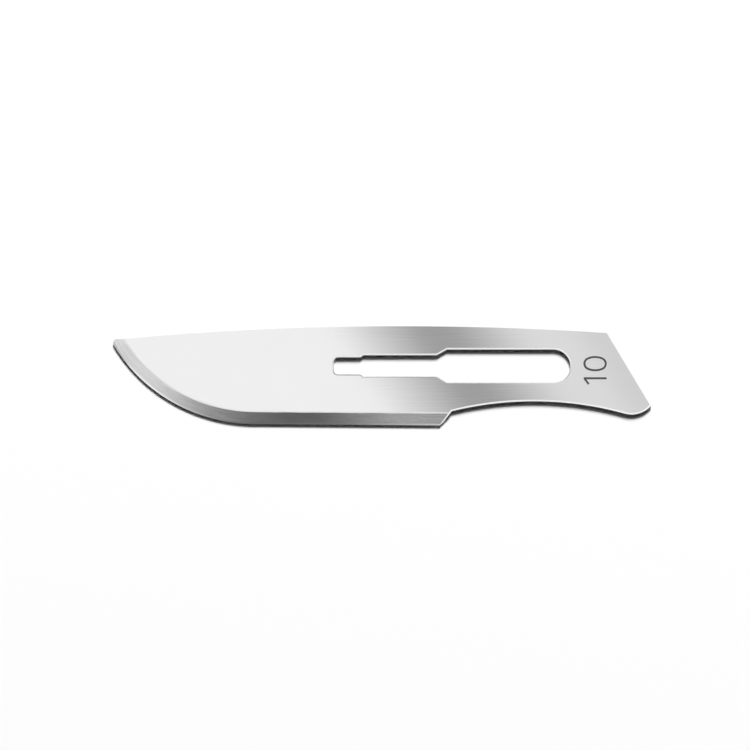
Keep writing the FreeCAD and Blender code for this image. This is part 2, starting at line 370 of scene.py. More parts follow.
def make_grain_group() -> bpy.types.NodeTree:
    """Make the group that gives fine marks, longer one way than the others, and soft clouds.

    Its vector is in millimetres, and the marks are long along its first direction.

    Returns:
        The group, with the marks' height and the clouds from 0 to 1.
    """
    group = new_group(
        "Steel Grain",
        {"Vector": "Vector", "Length": "Float", "Width": "Float", "Cloud Size": "Float"},
        {"Height": "Float", "Cloud": "Float"},
    )
    nodes = Nodes(group)
    given = nodes.add("NodeGroupInput")
    along = nodes.maths("DIVIDE", 1.0, given.outputs["Length"])
    across = nodes.maths("DIVIDE", 1.0, given.outputs["Width"])
    scale = nodes.add("ShaderNodeCombineXYZ", {0: along, 1: across, 2: across})
    drawn = nodes.add("ShaderNodeVectorMath", {0: given.outputs["Vector"], 1: scale.outputs[0]},
                      operation="MULTIPLY")
    marks = nodes.add("ShaderNodeTexNoise", {
        "Vector": drawn.outputs[0], "Scale": 1.0, "Detail": 2.0, "Roughness": 0.6,
    })
    cloud_scale = nodes.maths("DIVIDE", 1.0, given.outputs["Cloud Size"])
    clouds = nodes.add("ShaderNodeTexNoise", {
        "Vector": given.outputs["Vector"], "Scale": cloud_scale, "Detail": 3.0, "Roughness": 0.5,
    })
    nodes.add("NodeGroupOutput", {"Height": marks.outputs[0], "Cloud": clouds.outputs[0]})
    return group


def make_edge_group(belly_centre: Vector) -> bpy.types.NodeTree:
    """Make the group that measures a place from the cutting edge, as the grinding wheel does.

    The wheel goes along the straight edge and then round the belly, so its marks follow the edge
    everywhere.

    Args:
        belly_centre: The centre that the belly is ground round, in millimetres.

    Returns:
        The group, with a vector in millimetres: along the edge, out from the belly's centre, up.
    """
    group = new_group("Edge Place", {"Vector": "Vector"}, {"Vector": "Vector"})
    nodes = Nodes(group)
    given = nodes.add("NodeGroupInput")
    centred = nodes.add("ShaderNodeMapping", {"Vector": given.outputs[0],
                                              "Location": -belly_centre})
    place = nodes.add("ShaderNodeSeparateXYZ", {0: centred.outputs[0]})
    behind = nodes.maths("MINIMUM", place.outputs[0], 0.0)
    ahead = nodes.maths("MAXIMUM", place.outputs[0], 0.0)
    square = nodes.maths("MULTIPLY", behind, behind)
    out = nodes.maths("SQRT", nodes.maths("MULTIPLY_ADD", place.outputs[1], place.outputs[1],
                                          square))
    below = nodes.maths("MULTIPLY", place.outputs[1], -1.0)
    angle = nodes.maths("ARCTAN2", behind, below)
    along = nodes.maths("MULTIPLY_ADD", angle, out, ahead)
    vector = nodes.add("ShaderNodeCombineXYZ", {0: along, 1: out, 2: place.outputs[2]})
    nodes.add("NodeGroupOutput", {0: vector.outputs[0]})
    return group


class Marks(Enum):
    """Which way the marks of a finish run."""

    ROLLED = "along the strip"
    GROUND = "along the cutting edge"
    SHEARED = "through the sheet"
    PITTED = "no way at all"


@dataclass(frozen=True)
class Steel:
    """One finish of the blade's steel. Lengths are in millimetres."""

    name: str
    tint: float
    roughness: float
    marks: Marks
    mark_length: float
    mark_width: float
    mark_depth: float
    tint_spread: float = 0.02
    streak: float = 0.02
    roughness_spread: float = 0.04
    cloud_size: float = 3.0
    metallic: float = 1.0
    grazing_tint: float = 1.0

    def place(self, nodes: Nodes, edge: bpy.types.NodeTree) -> bpy.types.NodeSocket:
        """Add the nodes that turn a place on the blade the way that the marks run.

        Args:
            nodes: The material's nodes.
            edge: The group that measures from the cutting edge.

        Returns:
            The place in millimetres, with the marks' direction first.
        """
        spot = nodes.add("ShaderNodeTexCoord").outputs["Object"]
        spot = nodes.add("ShaderNodeMapping", {"Vector": spot, "Scale": (1 / MM,) * 3}).outputs[0]
        if self.marks is Marks.GROUND:
            measure = nodes.add("ShaderNodeGroup", node_tree=edge)
            nodes.tree.links.new(spot, measure.inputs[0])
            return measure.outputs[0]
        if self.marks is Marks.SHEARED:
            parts = nodes.add("ShaderNodeSeparateXYZ", {0: spot}).outputs
            turned = nodes.add("ShaderNodeCombineXYZ", {0: parts[2], 1: parts[0], 2: parts[1]})
            return turned.outputs[0]
        return spot

    def material(self, grain: bpy.types.NodeTree, edge: bpy.types.NodeTree) -> bpy.types.Material:
        """Build the finish as a material.

        Args:
            grain: The group that gives marks and clouds.
            edge: The group that measures from the cutting edge.

        Returns:
            The material.
        """
        material, nodes = new_material(self.name)
        steel = nodes.add("ShaderNodeGroup", node_tree=grain)
        nodes.tree.links.new(self.place(nodes, edge), steel.inputs["Vector"])
        steel.inputs["Length"].default_value = self.mark_length
        steel.inputs["Width"].default_value = self.mark_width
        steel.inputs["Cloud Size"].default_value = self.cloud_size
        low = self.tint - (self.tint_spread + self.streak) / 2
        tint = nodes.maths("MULTIPLY_ADD", steel.outputs["Cloud"], self.tint_spread, low)
        tint = nodes.maths("MULTIPLY_ADD", steel.outputs["Height"], self.streak, tint)
        roughness = nodes.maths("MULTIPLY_ADD", steel.outputs["Height"], self.roughness_spread,
                                self.roughness - self.roughness_spread / 2)
        relief = nodes.add("ShaderNodeBump", {
            "Height": steel.outputs["Height"], "Distance": self.mark_depth * MM, "Strength": 1.0,
        })
        shader = nodes.add("ShaderNodeBsdfPrincipled", {
            "Base Color": tint, "Roughness": roughness, "Metallic": self.metallic,
            "Specular Tint": (self.grazing_tint,) * 3 + (1.0,), "Normal": relief.outputs[0],
        })
        nodes.add("ShaderNodeOutputMaterial", {"Surface": shader.outputs[0]})
        return material


STRIP = Steel("Rolled Strip", tint=0.865, roughness=0.09, marks=Marks.ROLLED, mark_length=4.0,
              mark_width=0.12, mark_depth=0.0011)
BEVEL = Steel("Ground Bevel", tint=0.80, roughness=0.12, marks=Marks.GROUND, mark_length=1.5,
              mark_width=0.13, mark_depth=0.003, tint_spread=0.14, streak=0.25,
              cloud_size=0.18)
HONE = Steel("Honed Edge", tint=0.90, roughness=0.12, marks=Marks.GROUND, mark_length=1.0,
             mark_width=0.03, mark_depth=0.0002)
# The broken edges take a tint lighter than the faces': a painted glint on top of what these edges
# reflect. The digits' halos use it too.
TUMBLED_GLINT = Steel("Tumbled Edge Painted Glint", tint=0.98, roughness=0.26, marks=Marks.PITTED, mark_length=0.15,
                mark_width=0.15, mark_depth=0.0005)
# The blanked walls' near-black tint and weak grazing tint are partly the dark oxide of the cut
# steel and partly painted shade, darker than the shadowed floor they reflect.
WALL_OXIDE_AND_SHADE = Steel("Blanked Wall Oxide And Painted Shade", tint=0.08, roughness=0.18, marks=Marks.SHEARED, mark_length=0.6,
             mark_width=0.07, mark_depth=0.0015, tint_spread=0.04, cloud_size=0.6,
             grazing_tint=0.06)
ETCHING = Steel("Etched Mark", tint=0.07, roughness=0.6, marks=Marks.PITTED, mark_length=0.09,
                mark_width=0.09, mark_depth=0.002, tint_spread=0.05, cloud_size=0.3,
                metallic=0.0)


# The blade


@dataclass
class Outline:
    """The blade's outline, seen from above. Millimetres and degrees.

    The steps are about how many degrees one straight piece of each arc spans.
    """

    length: float = 40.0
    width: float = 7.65
    spine_radius: float = 220.0
    spine_crest_from_heel: float = 18.4
    tip_radius: float = 0.3
    belly_radius: float = 12.36
    edge_slope: float = 0.45
    edge_end_from_heel: float = 15.64
    notch_angle: float = 51.9
    waist_radius: float = 24.7
    waist_from_heel: float = 8.73
    waist_rise: float = 1.82
    heel_radius: float = 1.875
    heel_corner_rise: float = 1.525
    back_lean: float = 29.6
    spine_step: float = 0.25
    edge_step: float = 1.0
    heel_step: float = 4.0
    tip_step: float = 9.0

    def __post_init__(self) -> None:
        """Work out the centres and corners from the sizes."""
        heel_x, edge_y = self.length / 2, -self.width / 2
        self.spine_centre = flat(heel_x - self.spine_crest_from_heel,
                                 self.width / 2 - self.spine_radius)
        self.heel_corner = flat(heel_x, edge_y + self.heel_corner_rise)
        self.waist_centre = flat(heel_x - self.waist_from_heel,
                                 edge_y + self.waist_rise - self.waist_radius)
        self.edge_end = flat(heel_x - self.edge_end_from_heel, edge_y)
        self.back_corner = ray_and_circle(self.heel_corner, heading(90 + self.back_lean),
                                          self.spine_centre, self.spine_radius, True)
        self.heel_centre = left_meeting(self.waist_centre, self.waist_radius + self.heel_radius,
                                        self.heel_corner, self.heel_radius)
        self.notch_top = ray_and_circle(self.edge_end, heading(self.notch_angle),
                                        self.waist_centre, self.waist_radius, True)
        tip_x = self.tip_radius - heel_x
        tip_rise = sqrt((self.spine_radius - self.tip_radius) ** 2
                        - (tip_x - self.spine_centre.x) ** 2)
        self.tip_centre = flat(tip_x, self.spine_centre.y + tip_rise)
        self.edge_way = heading(-self.edge_slope)
        self.edge_out = heading(-90 - self.edge_slope)
        belly_path = self.edge_end - self.edge_out * self.belly_radius
        self.belly_centre = ray_and_circle(belly_path, -self.edge_way, self.tip_centre,
                                           self.belly_radius - self.tip_radius, False)
        self.belly_foot = self.belly_centre + self.edge_out * self.belly_radius

    def spine_at(self, x: float) -> Vector:
        """Return the point of the spine at an x."""
        return above(self.spine_centre, self.spine_radius, x)

    def waist_at(self, x: float) -> Vector:
        """Return the point of the waist at an x."""
        return above(self.waist_centre, self.waist_radius, x)

    def heel_part(self, pen: Pen, x: float) -> None:
        """Draw clockwise from the spine at an x to the waist below it.

        Args:
            pen: The pen, which is at the spine.
            x: Where the part starts and ends.
        """
        pen.arc(self.spine_centre, self.back_corner, self.spine_step, clockwise=True)
        pen.line(self.heel_corner)
        pen.arc(self.heel_centre, self.waist_centre, self.heel_step, clockwise=True)
        pen.arc(self.waist_centre, self.waist_at(x), self.edge_step)

    def fore_part(self, pen: Pen, x: float) -> None:
        """Draw clockwise from the waist at an x to the spine above it.

        Args:
            pen: The pen, which is at the waist.
            x: Where the part starts and ends.
        """
        pen.arc(self.waist_centre, self.notch_top, self.edge_step)
        pen.line(self.edge_end)
        pen.line(self.belly_foot)
        pen.arc(self.belly_centre, self.tip_centre, self.edge_step, clockwise=True)
        spine_way = (self.tip_centre - self.spine_centre).normalized()
        pen.arc(self.tip_centre, self.tip_centre + spine_way, self.tip_step, clockwise=True)
        pen.arc(self.spine_centre, self.spine_at(x), self.spine_step, clockwise=True)


@dataclass
class Slot:
    """The slot that takes the handle: a wide round-ended seat, a neck and a narrow nose.

    Millimetres and degrees. The steps are about how many degrees a piece of each arc spans.
    """

    end_centre: Vector = field(default_factory=lambda: flat(12.765, 0.705))
    length: float = 17.57
    seat_width: float = 2.51
    seat_length: float = 9.16
    seat_ramp_angle: float = 30.0
    neck_width: float = 1.63
    nose_width: float = 1.31
    nose_length: float = 2.0
    nose_ramp_angle: float = 45.0
    nose_corner: float = 0.3
    end_step: float = 4.0
    corner_step: float = 11.25

    def side(self, upper: bool) -> Vector:
        """Return the end of the seat's upper or lower straight side, where the round starts."""
        return self.end_centre + flat(0, self.seat_width / (2 if upper else -2))

    def seat_part(self, pen: Pen) -> None:
        """Draw the seat's round end, anticlockwise from its lower side."""
        pen.arc(self.end_centre, self.side(upper=True), self.end_step)

    def nose_part(self, pen: Pen) -> None:
        """Draw the rest clockwise: along the upper side, round the nose, along the lower one.

        Args:
            pen: The pen, which is where the seat's upper side meets its round end.
        """
        seat, neck, nose = self.seat_width / 2, self.neck_width / 2, self.nose_width / 2
        nose_x = seat - self.length
        seat_x = seat - self.seat_length
        neck_x = seat_x - (seat - neck) / tan(radians(self.seat_ramp_angle))
        nose_end_x = nose_x + self.nose_length
        neck_end_x = nose_end_x + (neck - nose) / tan(radians(self.nose_ramp_angle))
        corner_x, corner_y = nose_x + self.nose_corner, nose - self.nose_corner
        centre = self.end_centre
        steps = ((seat_x, seat), (neck_x, neck), (neck_end_x, neck), (nose_end_x, nose))
        for x, y in (*steps, (corner_x, nose)):
            pen.line(centre + flat(x, y))
        pen.arc(centre + flat(corner_x, corner_y), centre + flat(nose_x, corner_y),
                self.corner_step)
        pen.line(centre + flat(nose_x, -corner_y))
        pen.arc(centre + flat(corner_x, -corner_y), centre + flat(corner_x, -nose),
                self.corner_step)
        for x, y in reversed(steps):
            pen.line(centre + flat(x, -y))
        pen.line(self.side(upper=False))


@dataclass
class Grind:
    """What the wheel and the hone remove above the blade's middle level. Millimetres, degrees.

    The end break is how far in and how far down the bevel's sharp end at the notch is taken off.
    The nudge keeps that tool's corners off the planes of the bevel and the notch.
    """

    bevel_width: float = 0.89
    hone_width: float = 0.115
    hone_angle: float = 20.0
    edge_land: float = 0.01
    shoulder_width: float = 0.15
    shoulder_steps: int = 4
    shoulder_lead: float = 0.02
    overrun: float = 0.12
    swing: float = 90.0
    step: float = 1.0
    end_break: tuple[float, float] = (0.08, 0.066)
    nudge: float = 0.0005

    def bevel_slope(self, thickness: float) -> float:
        """Return how steeply the bevel rises from the hone to the face."""
        hone_rise = self.hone_width * tan(radians(self.hone_angle))
        rise = (thickness - self.edge_land) / 2 - hone_rise
        return rise / (self.bevel_width - self.hone_width)

    def shoulder(self, thickness: float, slope: float) -> list[tuple[float, float]]:
        """Work out the soft shoulder where the bevel runs into the face.

        Args:
            thickness: The sheet's thickness.
            slope: The bevel's slope.

        Returns:
            Its points from the face down to the bevel: how far in from the edge, and how high.
        """
        inward = self.bevel_width - self.shoulder_width / 2
        z = thickness - slope * self.shoulder_width / 2
        points = [(inward - self.shoulder_lead, z - slope * self.shoulder_lead), (inward, z)]
        run = self.shoulder_width / self.shoulder_steps
        for step in range(self.shoulder_steps):
            rise = slope * (1 - (step + 0.5) / self.shoulder_steps)
            inward, z = inward + run, z + run * rise
            points.append((inward, z))
        points[-1] = (inward + run, z + run * rise)
        return points[::-1]

    def tool(self, outline: Outline, thickness: float, bevel: bpy.types.Material,
             hone: bpy.types.Material) -> bpy.types.Object:
        """Make the solid that grinds the upper face: straight, then round the belly.

        Args:
            outline: The outline that it follows.
            thickness: The sheet's thickness.
            bevel: The finish that the wheel leaves.
            hone: The finish that the hone leaves.

        Returns:
            The closed solid.
        """
        middle = thickness / 2
        slope = tan(radians(self.hone_angle))
        hone_rise = self.hone_width * slope
        land = self.edge_land / 2
        bevel_slope = self.bevel_slope(thickness)
        shoulder = self.shoulder(thickness, bevel_slope)
        run = (outline.edge_end - outline.belly_foot).length
        run += self.overrun + self.bevel_width / tan(radians(outline.notch_angle))
        start = outline.belly_foot + outline.edge_way * run
        corners = [
            (self.hone_width, middle + land + hone_rise),
            (-self.overrun, middle + land - self.overrun * slope),
            (-self.overrun, thickness + self.overrun),
            (shoulder[0][0], thickness + self.overrun),
            *shoulder,
        ]
        points = [start - outline.edge_out * inward + UP * z for inward, z in corners]
        tool = draw_face("grind", points)
        edit(tool, "SELECT", "FACE")
        bpy.ops.mesh.extrude_region_move(
            TRANSFORM_OT_translate={"value": outline.edge_way * -run})
        bpy.ops.mesh.spin(steps=round(self.swing / self.step), angle=radians(self.swing),
                          center=outline.belly_centre, axis=UP)
        bpy.ops.mesh.select_all(action="SELECT")
        bpy.ops.mesh.remove_doubles(threshold=CLOSE)
        bpy.ops.mesh.normals_make_consistent(inside=False)
        bpy.ops.object.mode_set(mode="OBJECT")
        tool.data.materials.append(bevel)
        between = (cos(radians(self.hone_angle)) + cos(atan2(bevel_slope, 1.0))) / 2
        finish_faces(tool, hone, lambda face: -between < face.normal.z < -ON_SLOPE)
        return tool

    def end_tool(self, outline: Outline, thickness: float,
                 finish: bpy.types.Material) -> bpy.types.Object:
        """Make the solid that breaks the bevel's sharp end at the notch, on the upper face.

        Args:
            outline: The outline with the notch.
            thickness: The sheet's thickness.
            finish: The finish of the broken end.

        Returns:
            The closed solid.
        """
        slope, (width, drop) = self.bevel_slope(thickness), self.end_break
        along, outward = heading(outline.notch_angle), heading(outline.notch_angle - 90)
        climb = -slope * along.dot(outline.edge_out)
        fall = slope * outward.dot(outline.edge_out)
        start = outline.edge_end - along * self.overrun
        start += UP * (thickness - slope * self.bevel_width - climb * self.overrun)
        section = ((-width, 0.0), (0.0, -drop), (self.overrun, -drop),
                   (self.overrun, self.overrun), (-width, self.overrun))
        points = [start + outward * (out + self.nudge) + UP * (z - self.nudge - fall * out)
                  for out, z in section]
        tool = draw_face("bevel_end", points)
        run = self.bevel_width / -along.dot(outline.edge_out) + 2 * self.overrun
        make_solid(tool, (along + UP * climb) * run)
        tool.data.materials.append(finish)
        return tool


@dataclass
class SizeNumber:
    """The generic size number, etched on the heel, with a painted halo highlight round its
    strokes: its tops point to the tip. Millimetres.
    """

    depth: float = 0.012
    stroke: float = 0.16
    # A shallow band round each stroke in the lighter edge finish: a painted halo highlight.
    painted_halo: float = 0.07
    painted_halo_depth: float = 0.002
    zero_centre: Vector = field(default_factory=lambda: flat(15.860, 0.849))
    zero_height: float = 1.745
    zero_width: float = 1.178
    zero_end_radius: float = 0.515
    end_pieces: int = 18
    side_pieces: int = 8
    one_top: float = 15.0
    one_foot: float = 16.705
    one_middle: float = -0.272
    flag_end: Vector = field(default_factory=lambda: flat(15.372, -0.728))
    flag_width: float = 0.15

    def oval(self, shrink: float) -> bpy.types.Object:
        """Draw the zero's outline with an arc for each end and each side.

        Args:
            shrink: How far inside the zero's outer outline it is drawn.

        Returns:
            The closed outline.
        """
        end = self.zero_end_radius - shrink
        reach = self.zero_height / 2 - shrink - end
        half_width = self.zero_width / 2 - shrink
        side = (reach**2 + half_width**2 - end**2) / (2 * (half_width - end))
        foot, top = self.zero_centre + flat(reach, 0), self.zero_centre - flat(reach, 0)
        below = self.zero_centre - flat(0, side - half_width)
        over = self.zero_centre + flat(0, side - half_width)
        way = (foot - below).normalized() * end
        start = foot + flat(way.x, -way.y)
        turn = 2 * degrees(atan2(way.y, way.x))
        end_step, side_step = turn / self.end_pieces, (180 - turn) / self.side_pieces
        pen = Pen("zero", start)
        pen.arc(foot, foot + way, end_step)
        pen.arc(below, top + flat(-way.x, way.y), side_step)
        pen.arc(top, top - way, end_step)
        pen.arc(over, start, side_step)
        return pen.close(fill=False)

    def zero(self, grow: float) -> bpy.types.Object:
        """Draw the zero as a flat ring.

        Args:
            grow: How much wider each side of the stroke is than the stroke itself.

        Returns:
            The ring.
        """
        outer, inner = self.oval(-grow), self.oval(self.stroke + grow)
        only(outer, inner)
        bpy.ops.object.join()
        edit(outer, "SELECT", "EDGE")
        bpy.ops.mesh.bridge_edge_loops()
        bpy.ops.object.mode_set(mode="OBJECT")
        return outer

    def one(self, grow: float) -> bpy.types.Object:
        """Draw the one: its stem with the flag at its top.

        Args:
            grow: How much wider each side of the stroke is than the stroke itself.

        Returns:
            The flat digit.
        """
        half = self.stroke / 2 + grow
        low, high = self.one_middle - half, self.one_middle + half
        top, foot = self.one_top - grow, self.one_foot + grow
        way = (self.flag_end - flat(self.one_top, self.one_middle)).normalized()
        aside = flat(-way.y, way.x) * (self.flag_width / 2 + grow)
        end = self.flag_end + way * grow
        joint = flat(top + (self.flag_width + 2 * grow) / -way.y, low)
        return draw_face("one", [flat(foot, low), flat(foot, high), flat(top, high),
                                 flat(top, low), end - aside, end + aside, joint])

    def tools(self, thickness: float, mark: bpy.types.Material,
              painted_halo: bpy.types.Material) -> list[bpy.types.Object]:
        """Make the shallow solids that are cut out of the upper face.

        Args:
            thickness: The sheet's thickness.
            mark: The finish that the etching leaves.
            painted_halo: The finish beside the strokes.

        Returns:
            The closed solids, those of the painted halos first.
        """
        solids = []
        for grow, depth, finish in ((self.painted_halo, self.painted_halo_depth, painted_halo), (0.0, self.depth, mark)):
            for digit in (self.zero(grow), self.one(grow)):
                make_solid(digit, UP * (2 * self.depth))
                edit(digit, "SELECT")
                bpy.ops.transform.translate(value=UP * (thickness - depth))
                bpy.ops.object.mode_set(mode="OBJECT")
                digit.data.materials.append(finish)
                solids.append(digit)
        return solids


@dataclass
class Blade:
    """The whole blade, one piece of hardened steel strip. Millimetres and degrees."""

    thickness: float = 0.4
    edge_break: float = 0.105
    smooth_angle: float = 30.0
    outline: Outline = field(default_factory=Outline)
    slot: Slot = field(default_factory=Slot)
    grind: Grind = field(default_factory=Grind)
    number: SizeNumber = field(default_factory=SizeNumber)

    def blank(self, strip: bpy.types.Material, wall: bpy.types.Material,
              tumbled_glint: bpy.types.Material) -> bpy.types.Object:
        """Blank the blade with its slot and break the edges of both faces.

        Args:
            strip: The finish of the two faces.
            wall: The finish of the blanked walls, partly dark oxide and partly painted shade.
            tumbled_glint: The finish of the broken edges.

        Returns:
            The blank.
        """
        x = self.slot.end_centre.x
        pen = Pen(NODE, self.outline.spine_at(x))
        self.outline.heel_part(pen, x)
        pen.line(self.slot.side(upper=False))
        self.slot.seat_part(pen)
        pen.line(self.outline.spine_at(x))
        piece = pen.close()
        pen = Pen("fore_part", self.outline.waist_at(x))
        self.outline.fore_part(pen, x)
        pen.line(self.slot.side(upper=True))
        self.slot.nose_part(pen)
        pen.line(self.outline.waist_at(x))
        only(piece, pen.close())
        bpy.ops.object.join()
        make_solid(piece, UP * self.thickness)
        # The broken edges' finish is lighter than the faces': a painted glint.
        piece.data.materials.append(tumbled_glint)
        pick(piece, lambda face: abs(face.normal.z) > ON_SLOPE)
        bpy.ops.mesh.region_to_loop()
        bpy.ops.mesh.bevel(offset=self.edge_break, segments=1, affect="EDGES",
                           clamp_overlap=False)
        bpy.ops.object.mode_set(mode="OBJECT")
        finish_faces(piece, strip, lambda face: abs(face.normal.z) > ON_FACE)
        finish_faces(piece, wall, lambda face: abs(face.normal.z) < ON_WALL)
        return piece

    def build(self, finishes: dict[str, bpy.types.Material]) -> bpy.types.Object:
        """Build the blade and bring it to metres.

        Args:
            finishes: The materials by the names of their finishes.

        Returns:
            The finished piece.
        """
        strip, wall, tumbled_glint, bevel, hone, mark = (
            finishes[steel.name] for steel in (STRIP, WALL_OXIDE_AND_SHADE, TUMBLED_GLINT, BEVEL, HONE, ETCHING))
        piece = self.blank(strip, wall, tumbled_glint)
        for upper in (True, False):
            for tool in self.grinding(bevel, hone, tumbled_glint):
                if not upper:
                    self.turn_over(tool)
                cut(piece, tool)
        for digit in self.number.tools(self.thickness, mark, tumbled_glint):
            cut(piece, digit)
        edit(piece, "SELECT")
        bpy.ops.mesh.remove_doubles(threshold=SEAM)
        bpy.ops.object.mode_set(mode="OBJECT")
        self.shade(piece)
        only(piece)
        piece.scale = (MM, MM, MM)
        bpy.ops.object.transform_apply(location=True, rotation=True, scale=True)
        return piece

    def grinding(self, bevel: bpy.types.Material, hone: bpy.types.Material,
                 tumbled_glint: bpy.types.Material) -> tuple[bpy.types.Object, bpy.types.Object]:
        """Make the solids that grind the upper face and break the bevel's end.

        Args:
            bevel: The finish that the wheel leaves.
            hone: The finish that the hone leaves.
            tumbled_glint: The finish of the bevel's broken end.

        Returns:
            The two solids, in the order in which they cut.
        """
        tool = self.grind.tool(self.outline, self.thickness, bevel, hone)
        return tool, self.grind.end_tool(self.outline, self.thickness, tumbled_glint)

    def turn_over(self, tool: bpy.types.Object) -> None:
        """Mirror a tool to the other face of the sheet, with its own faces outwards."""
        edit(tool, "SELECT")
        bpy.ops.transform.resize(value=(1, 1, -1), center_override=UP * self.thickness / 2)
        bpy.ops.mesh.normals_make_consistent(inside=False)
        bpy.ops.object.mode_set(mode="OBJECT")

    def shade(self, piece: bpy.types.Object) -> None:
        """Shade the blade smooth, with crisp lines where one finish meets another."""
        only(piece)
        bpy.ops.object.shade_smooth_by_angle(angle=radians(self.smooth_angle))
        for index in range(len(piece.data.materials)):
            if pick(piece, lambda face: face.material_index == index):
                bpy.ops.mesh.region_to_loop()
                bpy.ops.mesh.mark_sharp()
        bpy.ops.object.mode_set(mode="OBJECT")


# The studio


def add_sheet(name: str, size: tuple[float, float], centre: Vector) -> bpy.types.Object:
    """Add a level rectangle whose origin stays at the scene's. Millimetres.

    Args:
        name: Its name.
        size: Its size along X and Y.
        centre: Its middle.

    Returns:
        The rectangle.
    """
    bpy.ops.object.select_all(action="DESELECT")
    bpy.ops.mesh.primitive_plane_add(size=1.0)
    sheet = bpy.context.object
    sheet.name = name
    bpy.ops.object.mode_set(mode="EDIT")
    bpy.ops.transform.resize(value=(size[0] * MM, size[1] * MM, 1))
    bpy.ops.transform.translate(value=centre * MM)
    bpy.ops.object.mode_set(mode="OBJECT")
    return sheet


@dataclass
class Camera:
    """The camera, as it looks on the blade. Millimetres and degrees."""

    aim: Vector = field(default_factory=lambda: Vector((-0.50, -0.02, 0.4)))
    elevation: float = 76.0
    distance: float = 309.5
    lens: float = 200.0
    clip: tuple[float, float] = (0.01, 10.0)

    def build(self) -> bpy.types.Object:
        """Add the camera, make it the scene's and return it."""
        tilt = radians(90 - self.elevation)
        back = Vector((0.0, -sin(tilt), cos(tilt))) * self.distance
        bpy.ops.object.camera_add(location=(self.aim + back) * MM, rotation=(tilt, 0, 0))
        camera = bpy.context.object
        camera.data.lens = self.lens
        camera.data.clip_start, camera.data.clip_end = self.clip
        bpy.context.scene.camera = camera
        return camera


Stops = tuple[tuple[float, float], ...]


def plain(grey: float) -> Stops:
    """Return the stops of a card that has one grey all over."""
    return ((-1.0, grey), (1.0, grey))


def first_hand(nodes: Nodes) -> bpy.types.NodeSocket:
    """Return 1 where a ray has not yet left a matt surface, so that nothing is lit twice."""
    rays = nodes.add("ShaderNodeLightPath").outputs
    return nodes.maths("LESS_THAN", rays["Diffuse Depth"], 0.5)


@dataclass
class SoftCard:
    """A graded soft card above the blade, which only the steel reflects. Millimetres, degrees.

    Its stops are places along X, each with the grey there.
    """

    name: str
    low: tuple[float, float]
    high: tuple[float, float]
    height: float
    stops: Stops
    lean: float = 0.0

    def material(self) -> bpy.types.Material:
        """Build the card's grading: a ramp of greys along X, leaning as the card says."""
        material, nodes = new_material(self.name)
        first, last = self.stops[0][0], self.stops[-1][0]
        spot = nodes.add("ShaderNodeTexCoord").outputs["Object"]
        parts = nodes.add("ShaderNodeSeparateXYZ", {0: spot}).outputs
        skew = nodes.maths("MULTIPLY_ADD", parts[1], tan(radians(self.lean)), parts[0])
        span = (last - first) * MM
        share = nodes.maths("MULTIPLY_ADD", skew, 1 / span, -first * MM / span)
        ramp = nodes.add("ShaderNodeValToRGB", {0: share})
        elements = ramp.color_ramp.elements
        while len(elements) < len(self.stops):
            elements.new(0.5)
        for element, (place, grey) in zip(elements, self.stops):
            element.position = (place - first) / (last - first)
            element.color = (grey, grey, grey, 1.0)
        glow = nodes.add("ShaderNodeEmission", {"Color": ramp.outputs[0],
                                                "Strength": first_hand(nodes)})
        nodes.add("ShaderNodeOutputMaterial", {"Surface": glow.outputs[0]})
        return material

    def build(self) -> bpy.types.Object:
        """Hang the card where only reflections see it."""
        low, high = Vector((*self.low, self.height)), Vector((*self.high, self.height))
        card = add_sheet(self.name, tuple((high - low).xy), (low + high) / 2)
        card.data.materials.append(self.material())
        for rays in ("camera", "diffuse", "shadow", "transmission"):
            setattr(card, f"visible_{rays}", False)
        return card


@dataclass(frozen=True)
class Lamp:
    """A soft box that leans from straight above to the spine's side. Metres, degrees, watts."""

    name: str
    lean: float
    size: tuple[float, float]
    power: float
    swing: float = 8.0
    distance: float = 2.5

    def build(self) -> bpy.types.Object:
        """Hang the lamp so that it faces the blade."""
        lean, swing = radians(self.lean), -radians(self.swing)
        way = Vector((-sin(lean) * sin(swing), sin(lean) * cos(swing), cos(lean)))
        bpy.ops.object.light_add(type="AREA", location=way * self.distance,
                                 rotation=(-lean, 0, swing))
        lamp = bpy.context.object
        lamp.name = self.name
        lamp.data.shape = "RECTANGLE"
        lamp.data.size, lamp.data.size_y = self.size
        lamp.data.energy = self.power
        lamp.visible_glossy = False
        return lamp


